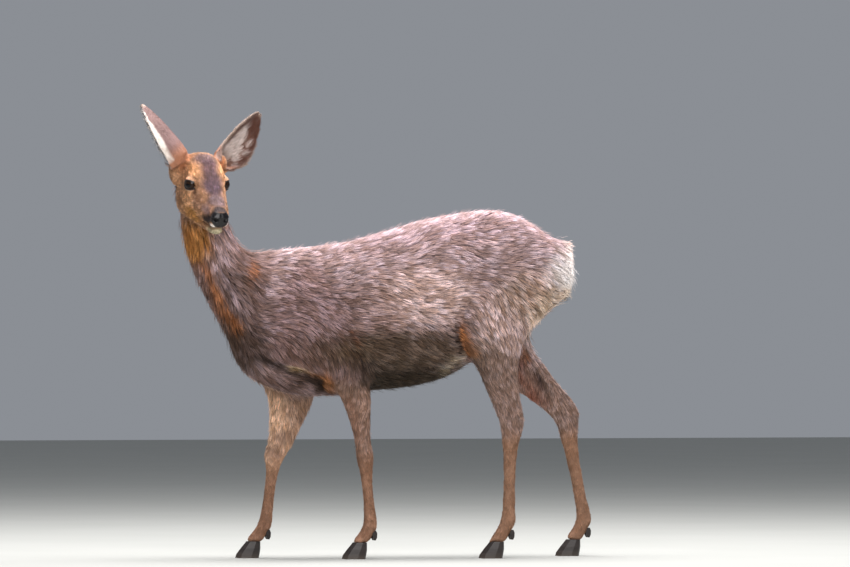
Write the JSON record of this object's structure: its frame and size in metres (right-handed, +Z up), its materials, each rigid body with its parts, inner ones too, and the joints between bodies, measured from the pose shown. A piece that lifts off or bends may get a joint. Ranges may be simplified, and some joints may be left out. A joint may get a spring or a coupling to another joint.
{
  "type": "roe deer",
  "caption": "Life-size roe deer doe in a moulting winter coat, standing still and looking back past her left shoulder.",
  "frame": {"origin": "middle of the bounding box's footprint, on the ground that the hooves stand on", "axes": "+Z up, the trunk lies along X with the rump towards +X, and the left side and the face are towards -Y"},
  "size_m": [1.0166, 0.3028, 0.9729],
  "materials": {
    "body_coat": "long grey-brown winter coat with rufous moult patches",
    "leg_coat": "short brown coat, paler on the inner side",
    "head_coat": "short coat, grey-brown on the forehead and tawny round the eyes, black nose and white chin",
    "ear_coat": "short grey-brown coat behind, long white hair within, dark rim",
    "rump_patch": "long white hair",
    "horn": "dark horn, slightly glossy",
    "eye": "wet, nearly black brown"
  },
  "bodies": {
    "root": {"foreleg_left_upper_arm": "body_coat", "foreleg_left_forearm": "leg_coat", "foreleg_left_cannon": "leg_coat", "foreleg_left_claw_outer": "horn", "foreleg_left_dewclaw_outer": "horn", "foreleg_left_claw_inner": "horn", "foreleg_left_dewclaw_inner": "horn", "foreleg_right_upper_arm": "body_coat", "foreleg_right_forearm": "leg_coat", "foreleg_right_cannon": "leg_coat", "foreleg_right_claw_outer": "horn", "foreleg_right_dewclaw_outer": "horn", "foreleg_right_claw_inner": "horn", "foreleg_right_dewclaw_inner": "horn", "hindleg_left_thigh": "body_coat", "hindleg_left_gaskin": "leg_coat", "hindleg_left_cannon": "leg_coat", "hindleg_left_claw_outer": "horn", "hindleg_left_dewclaw_outer": "horn", "hindleg_left_claw_inner": "horn", "hindleg_left_dewclaw_inner": "horn", "hindleg_right_thigh": "body_coat", "hindleg_right_gaskin": "leg_coat", "hindleg_right_cannon": "leg_coat", "hindleg_right_claw_outer": "horn", "hindleg_right_dewclaw_outer": "horn", "hindleg_right_claw_inner": "horn", "hindleg_right_dewclaw_inner": "horn", "tail": "rump_patch", "trunk": "body_coat", "neck": "body_coat", "ear_left": "ear_coat", "ear_right": "ear_coat", "eye_left": "eye", "eye_right": "eye", "head": "head_coat"}
  },
  "joints": []
}
